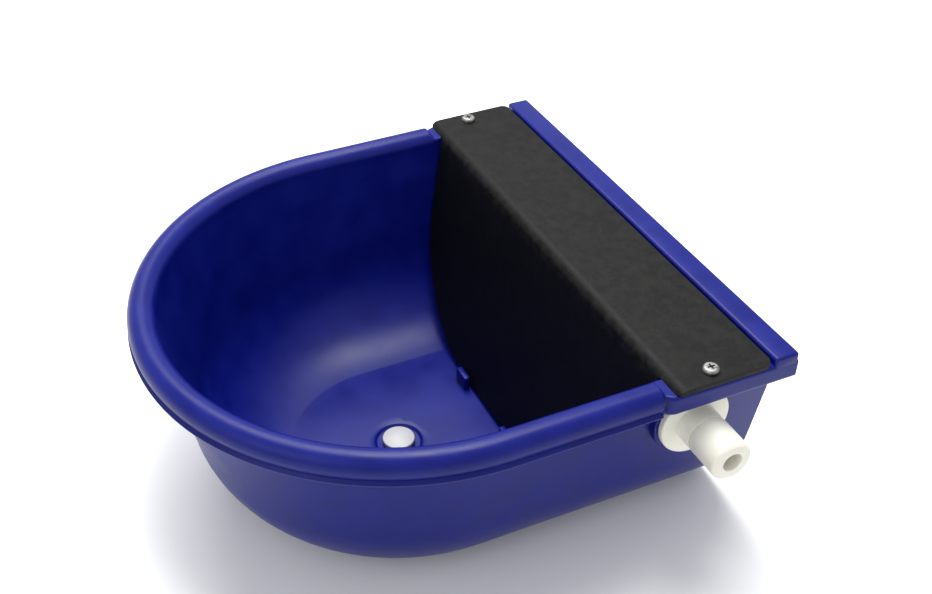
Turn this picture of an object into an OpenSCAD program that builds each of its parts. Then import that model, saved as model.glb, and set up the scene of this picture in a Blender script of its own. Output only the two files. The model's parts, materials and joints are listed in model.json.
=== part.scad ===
// Wall-hung livestock water trough: a D-shaped moulded bowl with a rolled rim, a screwed-on cover
// with a guard plate, and behind the guard a float valve that refills the bowl.
// The origin is midway between the two wall holes, on the back face.
// +X points to the water inlet, +Y into the wall, +Z up.

/* [Bowl] */
// Overall depth, from the wall to the front of the rim
bowl_length = 280; // [240:1:340]
// Overall width across the rim
bowl_width = 270; // [235:1:330]
// Overall height, from the base to the top of the back strip
bowl_height = 120; // [102:1:150]
// Thickness of the side and back walls
wall = 3; // [2:0.25:4.5]
// Thickness of the floor
floor_t = 4; // [3:0.25:6]
// Lean of the side walls, outwards going up
wall_draft = 9.5; // [6:0.5:11]
// Radius of the outer corner between wall and floor
corner_out_r = 55; // [40:1:60]
// Radius of the inner corner between wall and floor
corner_in_r = 54; // [40:1:60]
// Width of the rolled rim, from the inner face to the outer edge
rim_w = 15; // [12:0.5:20]
// Drop of the rim's lower edge below its crest
rim_drop = 14; // [11:0.5:18]
// Drop of the rim's crest below the top of the back strip
crest_drop = 0.5; // [0:0.5:3]

/* [Back ledge] */
// Depth of the raised strip along the wall
strip_d = 13; // [10:0.5:18]
// Height of the raised strip above the ledge that carries the cover
strip_rise = 4; // [3:0.5:6]
// Length of the flat ears, from the wall
ear_len = 70; // [68:1:85]
// Height of the ear's skirt
ear_skirt = 10.5; // [8:0.5:12]
// Radius of the ear's front corner
ear_corner_r = 6; // [4:0.5:9]
// Reach of the rear ledge under the cover
ledge_d = 7; // [4:0.5:10]
// Drop of the wall holes below the top of the strip
hole_drop = 16; // [15:0.5:20]
// Distance between the two wall holes
hole_pitch = 170; // [120:1:190]
// Radius of the wall holes
hole_r = 4.25; // [3:0.25:5]
// Radius of the boss round each wall hole
hole_boss_r = 9; // [8:0.5:12]
// Depth of the boss round each wall hole
hole_boss_d = 8; // [5:0.5:12]

/* [Cover] */
// Thickness of the cover and its guard
cover_t = 3; // [2:0.25:4]
// Gap between the cover and the back strip
cover_gap = 1.5; // [0.5:0.25:3]
// Distance from the wall to the guard's front face at the fold
guard_y = 65.5; // [63:0.5:67]
// Outer radius of the fold between the cover's top and the guard
fold_r = 6; // [4:0.5:8]
// Lean of the guard, forwards going down
guard_lean = 13; // [9:0.5:15]
// Gap between the guard's sides and the bowl at the rim
guard_side_gap = 1.5; // [1:0.25:4]
// Gap between the guard's foot and the floor
guard_foot_gap = 3; // [2:0.5:8]
// Radius of the guard's two lower corners
guard_corner_r = 85; // [70:1:90]
// Distance between the two lugs that hold the guard's foot
lug_pitch = 56; // [40:1:100]
// Width of each lug
lug_w = 12; // [8:0.5:18]
// Thickness of each lug
lug_t = 4; // [3:0.5:6]
// Height of each lug above the floor
lug_h = 9; // [6:0.5:14]
// Clearance between a lug and the guard
lug_gap = 0.5; // [0.3:0.1:1]
// Distance from a cover screw to the bowl's side
screw_inset = 7.5; // [6.5:0.25:10]
// Distance from a cover screw to the wall
screw_y = 43.5; // [35:0.5:50]
// Radius of the cover screw's shank
screw_r = 2; // [1.5:0.1:2.5]
// Length of the cover screw under its head
screw_len = 12; // [10:0.5:13]
// Radius of the screw heads
screw_head_r = 4; // [3.5:0.1:5]
// Height of the screw heads
screw_head_h = 2.4; // [2:0.1:3]
// Radius of the boss below each cover screw
screw_boss_r = 5; // [4.5:0.1:6]

/* [Drain] */
// Distance from the wall to the drain
drain_y = 146; // [125:1:175]
// Radius of the recess round the drain, at the floor
recess_r = 14; // [12:0.5:18]
// Depth of the recess
recess_d = 1.8; // [1.5:0.1:2.5]
// Radius of the drain hole
drain_r = 6.6; // [5.5:0.1:8]
// Radius of the plug's head
plug_r = 9; // [8.5:0.1:11]
// Thickness of the plug's head at its edge
plug_t = 2.4; // [2:0.1:4]
// Height of the dome on the plug's head
plug_dome = 1.8; // [1:0.1:3]
// Thickness of the ring under the plug's head
seal_t = 1.2; // [0.8:0.1:2]

/* [Inlet] */
// Distance from the wall to the inlet's axis
inlet_y = 45; // [42:0.5:47]
// Drop of the inlet's axis below the top of the strip
inlet_drop = 34; // [34:0.5:36]
// Radius of the threaded inlet shank
shank_r = 10.478; // [8:0.001:13.5]
// Reach of the shank beyond the rim
inlet_reach = 20; // [14:0.5:32]
// Radius of the bore through the shank
bore_r = 5; // [4.5:0.1:5.6]
// Width of the flanges round the shank, inside and outside the wall
flange_w = 8; // [7:0.25:8.5]
// Thickness of the valve body's flange
flange_t = 4; // [3:0.5:6]
// Thickness of the gasket inside the wall
gasket_t = 2; // [1:0.25:3]
// Thickness of the nut's flange
nut_flange_t = 3.4; // [2.5:0.1:5]
// Wall of the nut, from the shank to a flat
nut_wall = 2.5; // [2:0.25:4]
// Length of the nut's hexagon
nut_len = 8.5; // [6:0.5:11]

/* [Valve] */
// Wall of the valve barrel round the plunger
barrel_wall = 3; // [2:0.25:3.5]
// Length of the valve barrel behind its flange
barrel_len = 54; // [52:0.5:60]
// Radius of the plunger
plunger_r = 8; // [7:0.1:9.6]
// Length of the plunger
plunger_len = 27; // [25:0.5:28]
// Shoulder in the shank's bore that stops the nozzle
seat_shoulder = 0.5; // [0.4:0.1:1.2]
// Length of the nozzle's pressed part
seat_len = 8; // [6:0.5:9]
// Reach of the nozzle's tip into the barrel
seat_tip = 3; // [2:0.5:4]
// Radius of the nozzle's hole
orifice_r = 1.8; // [1:0.1:2.5]
// Radius of the rubber pad on the plunger
pad_r = 5.5; // [4.5:0.1:6]
// Thickness of the rubber pad
pad_t = 2.5; // [2:0.1:3]
// Thickness of the cap on the barrel's end
cap_t = 2; // [1.5:0.25:3]
// Length of the cap over the barrel
cap_skirt = 8; // [6:0.5:8]

/* [Lever] */
// Drop of the lever's pivot below the barrel
pivot_clear = 9; // [8.5:0.25:10]
// Distance from the flange to the pivot, along the barrel
pivot_back = 37.3; // [36.5:0.1:38]
// Drop of the short arm's tip below the barrel's axis, halfway through its swing
tip_drop = 5; // [4:0.1:5.5]
// Radius of the short arm's tip
tip_r = 2.4; // [2:0.1:2.5]
// Swing of the lever from empty to full
swing = 24; // [20:0.5:25]
// Droop of the long arm when the trough is empty
droop = 14; // [12:0.5:15]
// Radius of the lever's hub
hub_r = 5; // [4.5:0.1:5.5]
// Radius of the pivot pin
pin_r = 2; // [1.5:0.1:2.4]
// Thickness of the lever
lever_t = 4; // [3:0.25:5]
// Height of the lever's long arm
lever_h = 6; // [5:0.25:7]
// Distance from the pivot to the float
float_start = 43; // [40:0.5:48]

/* [Float] */
// Length of the float
float_l = 66; // [50:1:76]
// Width of the float
float_w = 42; // [34:1:43]
// Height of the float
float_h = 28; // [22:1:31]
// Wall of the float
float_wall = 1.6; // [1.2:0.1:2.5]
// Radius of the float's upright corners
float_corner_r = 8; // [4:0.5:12]
// Height of the float's top above the long arm's middle
float_rise = 4; // [3.5:0.5:6]

/* [Hidden] */
$fn = 96;

// Clearances: a running fit, a loose slip fit, a visible gap, and the overshoot of cuts
run_gap = 0.05;
slip_gap = 0.3;
free_gap = 0.5;
over = 1;

// Heights
z_top = hole_drop;
z_base = z_top - bowl_height;
z_floor = z_base + floor_t;
z_crest = z_top - crest_drop;
z_ledge = z_top - strip_rise;
rim_r = rim_w / 2;
z_arch = z_crest - rim_r;
z_lip = z_crest - rim_drop;
z_inlet = z_top - inlet_drop;
z_foot = z_floor + guard_foot_gap;
barrel_r = plunger_r + barrel_wall;
pivot_drop = barrel_r + pivot_clear;
short_arm = pivot_drop - tip_drop;
seat_r = bore_r + seat_shoulder;
flange_r = shank_r + flange_w;
// Foot of the bosses below the cover screws, clear of the inlet's flange
z_boss = max(z_ledge - ear_skirt, z_inlet + flange_r + free_gap);
// Height where the guard's face leaves the fold
guard_top_z = z_ledge + cover_t - fold_r + fold_r * sin(guard_lean);

// Plan
half_w = bowl_width / 2;
rim_in = half_w - rim_w;
front_y = -(bowl_length - half_w);
strip_y = -strip_d;
cover_back_y = strip_y - cover_gap;

// Half widths of the bowl's two faces at a height
function in_x(z) = rim_in + (z - z_arch) * tan(wall_draft);
function out_x(z) = in_x(z) + wall;
// Middle of the arc that touches both a leaning wall through [x0, 0] and the floor
function arc_x(x0, zc, r) = x0 - (r - sin(wall_draft) * zc) / cos(wall_draft);

// Inlet stations along X, from the outside in
pad_ring_r = flange_r + 2;
pad_out_x = out_x(z_inlet + pad_ring_r) + 0.2;
pad_in_x = in_x(z_inlet - pad_ring_r) - free_gap;
shank_end_x = half_w + inlet_reach;
flange_x = pad_in_x - gasket_t;
barrel_x = flange_x - flange_t;
barrel_end_x = barrel_x - barrel_len;
pivot_x = barrel_x - pivot_back;
pivot_z = z_inlet - pivot_drop;
travel = 2 * short_arm * sin(swing / 2);
seat_inset = 2;
seat_back_x = barrel_x - seat_inset;
seat_front_x = seat_back_x - seat_len;
tip_face_x = seat_front_x - seat_tip;
pad_face_x = tip_face_x - travel - run_gap;
pad_stand = 1;
plunger_x = pad_face_x - pad_stand;
tip_x = pivot_x - short_arm * sin(swing / 2);
clevis_gap = lever_t + 2 * slip_gap;
clevis_t = 3;
pin_end = clevis_gap / 2 + clevis_t;
clip_t = 0.9;
clip_r = 4.2;
groove_d = 0.4;
pin_head_r = 3.4;
pin_head_t = 1.5;

// Float, measured along the long arm from the pivot
float_mid = float_start + float_l / 2;
float_plate_t = 3;
float_boss_r = 5;
float_boss_h = 10;
lid_t = 3;
lid_lip = 2;
crank_t = 4;
crank_x = float_start - crank_t + 1;
arm_plate_w = 12;

// A cylinder along +X from x, on the inlet's axis
module axle(x, len, r) {
    translate([x, -inlet_y, z_inlet]) rotate([0, 90, 0]) cylinder(h = len, r = r);
}

// A turned solid on the inlet's axis, from points of radius and station
module turned(points) {
    translate([0, -inlet_y, z_inlet]) rotate([0, 90, 0]) rotate_extrude() polygon(points);
}

// A cylinder along Y through the lever's pivot, from y0 to y1 either side of the lever
module cross(y0, y1, r) {
    translate([pivot_x, -inlet_y + y1, pivot_z]) rotate([90, 0, 0]) cylinder(h = y1 - y0, r = r);
}

// A box between two corners
module block(a, b) {
    translate(a) cube(b - a);
}

// A YZ outline carried along X between x0 and x1
module along_x(x0, x1) {
    translate([x0, 0, 0]) rotate([90, 0, 90]) linear_extrude(x1 - x0) children();
}

// An XZ outline carried along Y between y0 and y1
module along_y(y0, y1) {
    translate([0, y1, 0]) rotate([90, 0, 0]) linear_extrude(y1 - y0) children();
}

// Both sides of the trough
module both_sides() {
    children();
    mirror([1, 0, 0]) children();
}

// Rectangle with round corners
module round_plate(l, w, r) {
    square([l - 2 * r, w], center = true);
    square([l, w - 2 * r], center = true);
    for (x = [-1, 1], y = [-1, 1])
        translate([x * (l / 2 - r), y * (w / 2 - r)]) circle(r);
}

// Half section of a filled bowl up to a height, with a round lower corner
module bowl_half(x0, zb, r, zt) {
    zc = zb + r;
    xc = arc_x(x0, zc, r);
    polygon([[0, zb], [xc, zb], [xc + r * cos(wall_draft), zc - r * sin(wall_draft)],
        [x0 + zt * tan(wall_draft), zt], [0, zt]]);
    intersection() {
        translate([xc, zc]) circle(r, $fn = 180);
        translate([xc, zb - over]) square([r + over, r + over]);
    }
}

module outer_half() { bowl_half(out_x(0), z_base, corner_out_r, z_arch); }
module inner_half(zt) { bowl_half(in_x(0), z_floor, corner_in_r, zt); }

// Half section of the closed rim: a filled arch with a straight outer skirt
module rim_end_half() {
    intersection() {
        translate([rim_in + rim_r, z_arch]) circle(rim_r);
        translate([rim_in, z_arch]) square([rim_w, rim_w]);
    }
    translate([half_w - wall, z_lip]) square([wall, z_arch - z_lip]);
}

// Half section of the rolled rim, hollow below
module rim_half() {
    difference() {
        rim_end_half();
        translate([rim_in + rim_r, z_arch]) circle(rim_r - wall);
    }
}

// Half section of wall and floor
module shell_half() {
    difference() {
        outer_half();
        inner_half(z_arch + over);
    }
}

// Plan of an ear, set in by a distance
module ear_plan(inset) {
    r = ear_corner_r - inset;
    x = half_w - ear_corner_r;
    y = -ear_len + ear_corner_r;
    translate([rim_in + 1, -ear_len + inset]) square([x - rim_in - 1, ear_len - 2 * inset]);
    translate([x - over, y]) square([r + over, -y - inset]);
    translate([x, y]) circle(r);
}

// One ear: a flat top with a skirt on its three free sides and a leg on the bowl's wall
module ear() {
    translate([0, 0, z_ledge - wall]) linear_extrude(wall) ear_plan(0);
    translate([0, 0, z_ledge - ear_skirt]) linear_extrude(ear_skirt) difference() {
        ear_plan(0);
        ear_plan(wall);
        translate([rim_in, -ear_len + wall]) square([wall, ear_len - 2 * wall]);
    }
    block([rim_in, -ear_len, z_arch], [rim_in + wall, 0, z_ledge]);
    translate([half_w - screw_inset, -screw_y, z_boss])
        cylinder(h = z_ledge - z_boss, r = screw_boss_r);
}

// The raised strip along the wall, with the ledge that carries the cover's rear edge
module back_strip() {
    difference() {
        block([-half_w, strip_y, z_ledge - wall], [half_w, 0, z_top]);
        block([-half_w + wall, strip_y + wall, z_ledge - wall - over],
            [half_w - wall, -wall, z_top - wall]);
    }
    block([-rim_in - wall, strip_y - ledge_d, z_ledge - wall],
        [rim_in + wall, strip_y + wall, z_ledge]);
}

// Place of the guard's front face at a height
function guard_face(z) = -guard_y - (guard_top_z - z) * tan(guard_lean);

module bowl() {
    color([0.11, 0.14, 0.48]) difference() {
        union() {
            translate([0, front_y, 0]) rotate([0, 0, 180]) rotate_extrude(angle = 180, $fn = 180) {
                shell_half();
                rim_half();
            }
            along_y(front_y, 0) {
                shell_half();
                mirror([1, 0]) shell_half();
            }
            along_y(front_y, -ear_len) {
                rim_half();
                mirror([1, 0]) rim_half();
            }
            along_y(-ear_len - wall, -ear_len) {
                rim_end_half();
                mirror([1, 0]) rim_end_half();
            }
            along_y(-wall, 0) {
                outer_half();
                mirror([1, 0]) outer_half();
                translate([-rim_in - wall, z_arch - over])
                    square([2 * (rim_in + wall), z_top - z_arch]);
            }
            both_sides() ear();
            back_strip();
            for (x = [-1, 1]) {
                translate([x * hole_pitch / 2, 0, 0]) rotate([90, 0, 0])
                    cylinder(h = hole_boss_d, r = hole_boss_r);
                translate([x * lug_pitch / 2 - lug_w / 2,
                    guard_face(z_foot) - lug_gap - lug_t, z_floor - over])
                    cube([lug_w, lug_t, lug_h + over]);
            }
            axle(pad_in_x, pad_out_x - pad_in_x, pad_ring_r);
        }
        for (x = [-1, 1]) {
            translate([x * hole_pitch / 2, over, 0]) rotate([90, 0, 0])
                cylinder(h = hole_boss_d + 2 * over, r = hole_r);
            translate([x * (half_w - screw_inset), -screw_y, z_boss - over])
                cylinder(h = z_ledge - z_boss + 2 * over, r = screw_r + run_gap);
        }
        axle(pad_in_x - over, pad_out_x - pad_in_x + 2 * over, shank_r + slip_gap);
        translate([0, -drain_y, z_base - over]) cylinder(h = floor_t + 2 * over, r = drain_r);
        translate([0, -drain_y, z_floor - recess_d])
            cylinder(h = recess_d + 0.01, r1 = recess_r - recess_d, r2 = recess_r);
    }
}

// Filled side section under one face of the cover, a depth below its outer face
module cover_fill(depth, back_y, foot_z) {
    cy = -guard_y + fold_r * cos(guard_lean);
    cz = z_ledge + cover_t - fold_r;
    r = fold_r - depth;
    polygon([[back_y, cz + r], [cy, cz + r],
        [cy - r * cos(guard_lean), cz + r * sin(guard_lean)],
        [guard_face(foot_z) + depth / cos(guard_lean), foot_z], [back_y, foot_z]]);
    translate([cy, cz]) circle(r);
}

// Side section of the cover: flat top, round fold, leaning guard
module cover_section() {
    difference() {
        cover_fill(0, cover_back_y, z_foot);
        cover_fill(cover_t, cover_back_y + over, z_foot - over);
    }
}

// Front outline of the cover: full width on top, and the bowl's shape below
module cover_outline() {
    translate([-half_w, z_ledge]) square([bowl_width, 2 * cover_t]);
    for (side = [0, 1]) mirror([side, 0])
        bowl_half(in_x(0) - guard_side_gap, z_foot, guard_corner_r, z_ledge + over);
}

module cover() {
    color([0.16, 0.16, 0.155]) difference() {
        intersection() {
            along_x(-half_w, half_w) cover_section();
            along_y(-bowl_length, 0) cover_outline();
        }
        for (x = [-1, 1]) translate([x * (half_w - screw_inset), -screw_y, z_ledge - over])
            cylinder(h = cover_t + 2 * over, r = screw_r + slip_gap);
    }
}

// A pan-head screw standing on z = 0, with a cross recess
module pan_screw(len) {
    head_crown = 0.8;
    slot_w = 0.9;
    slot_l = 3.6;
    difference() {
        union() {
            translate([0, 0, -len]) cylinder(h = len, r = screw_r);
            cylinder(h = screw_head_h - head_crown, r = screw_head_r);
            translate([0, 0, screw_head_h - head_crown])
                cylinder(h = head_crown, r1 = screw_head_r, r2 = screw_head_r - head_crown);
        }
        for (a = [0, 90]) rotate([0, 0, a]) translate([-slot_l / 2, -slot_w / 2, screw_head_h - 1.4])
            cube([slot_l, slot_w, 1.4 + over]);
    }
}

module cover_screws() {
    color("silver") for (x = [-1, 1])
        translate([x * (half_w - screw_inset), -screw_y, z_ledge + cover_t]) pan_screw(screw_len);
}

// The plug stands on its seal ring in the recess
module drain_plug() {
    z0 = z_floor - recess_d + seal_t;
    dome_r = (plug_r * plug_r + plug_dome * plug_dome) / (2 * plug_dome);
    color([0.85, 0.85, 0.85]) translate([0, -drain_y, 0]) {
        translate([0, 0, z0]) cylinder(h = plug_t, r = plug_r);
        intersection() {
            translate([0, 0, z0 + plug_t + plug_dome - dome_r]) sphere(dome_r, $fn = 180);
            translate([0, 0, z0 + plug_t - free_gap]) cylinder(h = plug_dome + over, r = plug_r);
        }
        translate([0, 0, z_base + free_gap])
            cylinder(h = z0 - z_base - free_gap + 0.2, r = drain_r - slip_gap);
    }
}

module drain_seal() {
    color([0.1, 0.1, 0.1]) translate([0, -drain_y, z_floor - recess_d]) difference() {
        cylinder(h = seal_t, r = plug_r - free_gap);
        translate([0, 0, -over]) cylinder(h = seal_t + 2 * over, r = drain_r);
    }
}

// One clevis ear, from y0 to y1 beside the lever
module clevis(y0, y1) {
    cross(y0, y1, hub_r);
    block([pivot_x - hub_r, -inlet_y + y0, pivot_z],
        [pivot_x + hub_r, -inlet_y + y1, z_inlet - barrel_r + wall]);
}

module valve_body() {
    end_chamfer = 1.2;
    window = 8;
    relief_w = 1;
    relief_x = pad_out_x + nut_flange_t + nut_len + free_gap;
    relief_root = shank_r - 0.8;
    color([0.86, 0.85, 0.8]) difference() {
        union() {
            turned([[0, barrel_end_x], [barrel_r, barrel_end_x], [barrel_r, barrel_x],
                [flange_r, barrel_x], [flange_r, flange_x], [shank_r, flange_x],
                [shank_r, relief_x], [relief_root, relief_x],
                [relief_root, relief_x + relief_w], [shank_r, relief_x + relief_w],
                [shank_r, shank_end_x - end_chamfer], [shank_r - end_chamfer, shank_end_x],
                [0, shank_end_x]]);
            clevis(clevis_gap / 2, pin_end);
            clevis(-pin_end, -clevis_gap / 2);
        }
        axle(seat_front_x, shank_end_x - seat_front_x + over, bore_r);
        axle(seat_front_x - over, seat_len + over, seat_r + run_gap);
        axle(barrel_end_x - over, seat_front_x - barrel_end_x + over, plunger_r + 2 * run_gap);
        cross(-pin_end - over, pin_end + over, pin_r + run_gap);
        block([pivot_x - hub_r - over, -inlet_y - clevis_gap / 2, z_inlet - barrel_r - over],
            [pivot_x + hub_r + 3, -inlet_y + clevis_gap / 2, z_inlet - plunger_r / 2]);
        block([seat_front_x - window, -inlet_y - window / 2, z_inlet - barrel_r - over],
            [seat_front_x - over, -inlet_y + window / 2, z_inlet]);
    }
}

module inlet_nut() {
    color([0.88, 0.87, 0.82]) difference() {
        union() {
            axle(pad_out_x, nut_flange_t, flange_r);
            axle(pad_out_x + nut_flange_t, nut_len, (shank_r + nut_wall) / cos(30), $fn = 6);
        }
        axle(pad_out_x - over, nut_flange_t + nut_len + 2 * over, shank_r + run_gap);
    }
}

module inlet_gasket() {
    color([0.12, 0.12, 0.12]) difference() {
        axle(flange_x, gasket_t, flange_r);
        axle(flange_x - over, gasket_t + 2 * over, shank_r + run_gap);
    }
}

module valve_seat() {
    color([0.78, 0.62, 0.3]) difference() {
        union() {
            turned([[0, tip_face_x], [orifice_r + over, tip_face_x], [seat_r - over, seat_front_x],
                [seat_r, seat_front_x], [seat_r, seat_back_x], [0, seat_back_x]]);
        }
        axle(tip_face_x - over, seat_len + seat_tip + 2 * over, orifice_r);
    }
}

module valve_cap() {
    color([0.86, 0.85, 0.8]) difference() {
        axle(barrel_end_x - cap_t, cap_skirt + cap_t, barrel_r + over);
        axle(barrel_end_x, cap_skirt + over, barrel_r + run_gap);
        axle(barrel_end_x - cap_t - over, cap_t + 2 * over, plunger_r / 2);
    }
}

module plunger() {
    notch = 2 * tip_r + 2 * slip_gap;
    color([0.93, 0.93, 0.9]) difference() {
        axle(plunger_x - plunger_len, plunger_len, plunger_r);
        axle(plunger_x - pad_t + pad_stand, pad_t + over, pad_r + run_gap);
        block([tip_x - notch / 2, -inlet_y - clevis_gap / 2, z_inlet - plunger_r - over],
            [tip_x + notch / 2, -inlet_y + clevis_gap / 2, z_inlet]);
    }
}

module seat_pad() {
    color([0.1, 0.1, 0.1]) axle(pad_face_x - pad_t, pad_t, pad_r);
}

// Places its children along the long arm: local -X is the arm's direction, empty trough
module on_arm() {
    translate([pivot_x, -inlet_y, pivot_z]) rotate([0, -droop, 0]) children();
}

module float_lever() {
    half_t = lever_t / 2;
    plate_end = float_mid + arm_plate_w;
    neck = 2 * tip_r - 1.4;
    color([0.9, 0.9, 0.87]) difference() {
        union() {
            cross(-half_t, half_t, hub_r);
            translate([pivot_x, -inlet_y, pivot_z]) rotate([0, -swing / 2, 0]) {
                translate([-neck / 2, -half_t, 0]) cube([neck, lever_t, short_arm]);
                translate([0, half_t, short_arm]) rotate([90, 0, 0]) cylinder(h = lever_t, r = tip_r);
            }
            on_arm() {
                block([-crank_x, -half_t, -lever_h / 2], [0, half_t, lever_h / 2]);
                block([-crank_x, -half_t, -lever_h / 2],
                    [-crank_x + crank_t, half_t, float_rise + float_plate_t]);
                block([-plate_end, -arm_plate_w / 2, float_rise],
                    [-crank_x + crank_t, arm_plate_w / 2, float_rise + float_plate_t]);
            }
        }
        cross(-half_t - over, half_t + over, pin_r + run_gap);
        on_arm() translate([-float_mid, 0, float_rise - over])
            cylinder(h = float_plate_t + 2 * over, r = screw_r + slip_gap);
    }
}

module pivot_pin() {
    color("silver") difference() {
        union() {
            cross(-pin_end - pin_head_t, -pin_end, pin_head_r);
            cross(-pin_end - over, pin_end + 2 * clip_t + over, pin_r);
        }
        difference() {
            cross(pin_end + run_gap, pin_end + 2 * run_gap + clip_t, pin_r + over);
            cross(pin_end, pin_end + 2 * clip_t, pin_r - groove_d);
        }
    }
}

module pin_clip() {
    color("silver") difference() {
        cross(pin_end + run_gap, pin_end + run_gap + clip_t, clip_r);
        cross(pin_end - over, pin_end + clip_t + over, pin_r - groove_d + run_gap);
        block([pivot_x - pin_r + groove_d, -inlet_y + pin_end - over, pivot_z - clip_r - over],
            [pivot_x + pin_r - groove_d, -inlet_y + pin_end + clip_t + over, pivot_z]);
    }
}

// The float is a hollow shell closed by a lid with a screw boss
module float_shell() {
    depth = float_h - lid_t;
    color([0.9, 0.9, 0.88]) on_arm() translate([-float_mid, 0, float_rise - float_h]) difference() {
        linear_extrude(depth) round_plate(float_l, float_w, float_corner_r);
        translate([0, 0, float_wall]) linear_extrude(depth)
            round_plate(float_l - 2 * float_wall, float_w - 2 * float_wall,
                float_corner_r - float_wall);
    }
}

module float_lid() {
    color([0.9, 0.9, 0.88]) on_arm() translate([-float_mid, 0, float_rise]) difference() {
        union() {
            translate([0, 0, -lid_t]) linear_extrude(lid_t)
                round_plate(float_l, float_w, float_corner_r);
            translate([0, 0, -lid_t - lid_lip]) linear_extrude(lid_lip + over) difference() {
                round_plate(float_l - 2 * float_wall - 2 * run_gap,
                    float_w - 2 * float_wall - 2 * run_gap, float_corner_r - float_wall);
                round_plate(float_l - 4 * float_wall, float_w - 4 * float_wall,
                    float_corner_r - 2 * float_wall);
            }
            translate([0, 0, -float_boss_h]) cylinder(h = float_boss_h, r = float_boss_r);
        }
        translate([0, 0, -float_boss_h + 1]) cylinder(h = float_boss_h, r = screw_r + run_gap);
    }
}

module float_screw() {
    color("silver") on_arm() translate([-float_mid, 0, float_rise + float_plate_t])
        pan_screw(float_plate_t + float_boss_h - 2);
}

bowl();
cover();
cover_screws();
drain_plug();
drain_seal();
valve_body();
inlet_nut();
inlet_gasket();
valve_seat();
valve_cap();
plunger();
seat_pad();
float_lever();
pivot_pin();
pin_clip();
float_shell();
float_lid();
float_screw();
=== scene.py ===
# Wall-hung livestock water trough: the finished surfaces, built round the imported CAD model.
import json
from math import atan2, cos, pi, radians, sin, sqrt, tan

import bmesh
import bpy
import numpy as np
from mathutils import Matrix, Vector

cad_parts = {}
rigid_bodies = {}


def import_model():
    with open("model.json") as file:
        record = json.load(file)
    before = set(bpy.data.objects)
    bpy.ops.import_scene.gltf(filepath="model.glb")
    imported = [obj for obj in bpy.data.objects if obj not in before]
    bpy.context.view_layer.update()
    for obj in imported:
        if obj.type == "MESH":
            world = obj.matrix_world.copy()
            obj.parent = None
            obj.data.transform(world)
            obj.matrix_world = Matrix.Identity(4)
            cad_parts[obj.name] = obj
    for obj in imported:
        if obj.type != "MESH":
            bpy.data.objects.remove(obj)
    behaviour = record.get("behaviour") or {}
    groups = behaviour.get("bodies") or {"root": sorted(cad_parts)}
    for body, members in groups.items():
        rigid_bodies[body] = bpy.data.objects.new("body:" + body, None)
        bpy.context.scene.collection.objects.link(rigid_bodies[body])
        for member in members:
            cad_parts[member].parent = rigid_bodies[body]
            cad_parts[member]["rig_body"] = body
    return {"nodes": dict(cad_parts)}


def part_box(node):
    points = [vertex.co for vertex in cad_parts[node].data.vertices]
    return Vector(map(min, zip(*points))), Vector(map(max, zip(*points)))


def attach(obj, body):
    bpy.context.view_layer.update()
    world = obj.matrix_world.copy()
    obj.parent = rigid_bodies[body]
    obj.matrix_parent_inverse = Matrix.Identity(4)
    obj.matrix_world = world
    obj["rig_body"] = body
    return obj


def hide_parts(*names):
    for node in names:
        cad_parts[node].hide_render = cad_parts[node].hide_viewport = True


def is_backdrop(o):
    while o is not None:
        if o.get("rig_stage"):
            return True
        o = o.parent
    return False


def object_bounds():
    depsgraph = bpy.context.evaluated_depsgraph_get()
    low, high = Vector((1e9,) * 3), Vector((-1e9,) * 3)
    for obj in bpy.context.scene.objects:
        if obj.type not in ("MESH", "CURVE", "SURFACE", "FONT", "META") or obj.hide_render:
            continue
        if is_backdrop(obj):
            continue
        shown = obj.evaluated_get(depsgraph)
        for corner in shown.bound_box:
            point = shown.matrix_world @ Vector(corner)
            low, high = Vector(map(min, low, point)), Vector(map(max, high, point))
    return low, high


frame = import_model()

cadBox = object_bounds()
nodes = frame["nodes"]
mm = 0.001
weldGap = 1e-6  # points nearer than this are one
over = 1 * mm  # how far a tool goes past what it joins or cuts
print("frame loaded:", len(nodes), "CAD nodes")

# Driving places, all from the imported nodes
bowlLow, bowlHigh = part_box("bowl")
coverLow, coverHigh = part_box("cover")
nutLow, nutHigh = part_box("inlet_nut")
plugLow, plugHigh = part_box("drain_plug")
halfWidth = bowlHigh.x
topZ = bowlHigh.z
baseZ = bowlLow.z
inletY = (nutLow.y + nutHigh.y) / 2
inletZ = (nutLow.z + nutHigh.z) / 2
drainY = (plugLow.y + plugHigh.y) / 2

# ---- mesh helpers


def gridFaces(rows, columns, wrap=False):
    # Quads between neighbouring rows and columns; wrap joins the last row to the first
    i = np.arange(rows if wrap else rows - 1)
    j = np.arange(columns - 1)
    i, j = (a.ravel() for a in np.meshgrid(i, j, indexing="ij"))
    k = (i + 1) % rows
    return np.stack([i * columns + j, i * columns + j + 1, k * columns + j + 1, k * columns + j], 1)


def makeObject(name, points, faces):
    # A mesh object from an array of points and lists of corner numbers, welded, with faces outward
    mesh = bpy.data.meshes.new(name)
    mesh.from_pydata(np.asarray(points).tolist(), [], [list(map(int, f)) for f in faces])
    piece = bpy.data.objects.new(name, mesh)
    bpy.context.scene.collection.objects.link(piece)
    weld(mesh)
    return piece


def weld(mesh, gap=weldGap):
    # Merges doubles, drops faces of no area and turns all faces outward
    work = bmesh.new()
    work.from_mesh(mesh)
    bmesh.ops.remove_doubles(work, verts=work.verts, dist=gap)
    bmesh.ops.dissolve_degenerate(work, edges=work.edges, dist=gap)
    bmesh.ops.recalc_face_normals(work, faces=work.faces)
    work.to_mesh(mesh)
    work.free()


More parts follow.
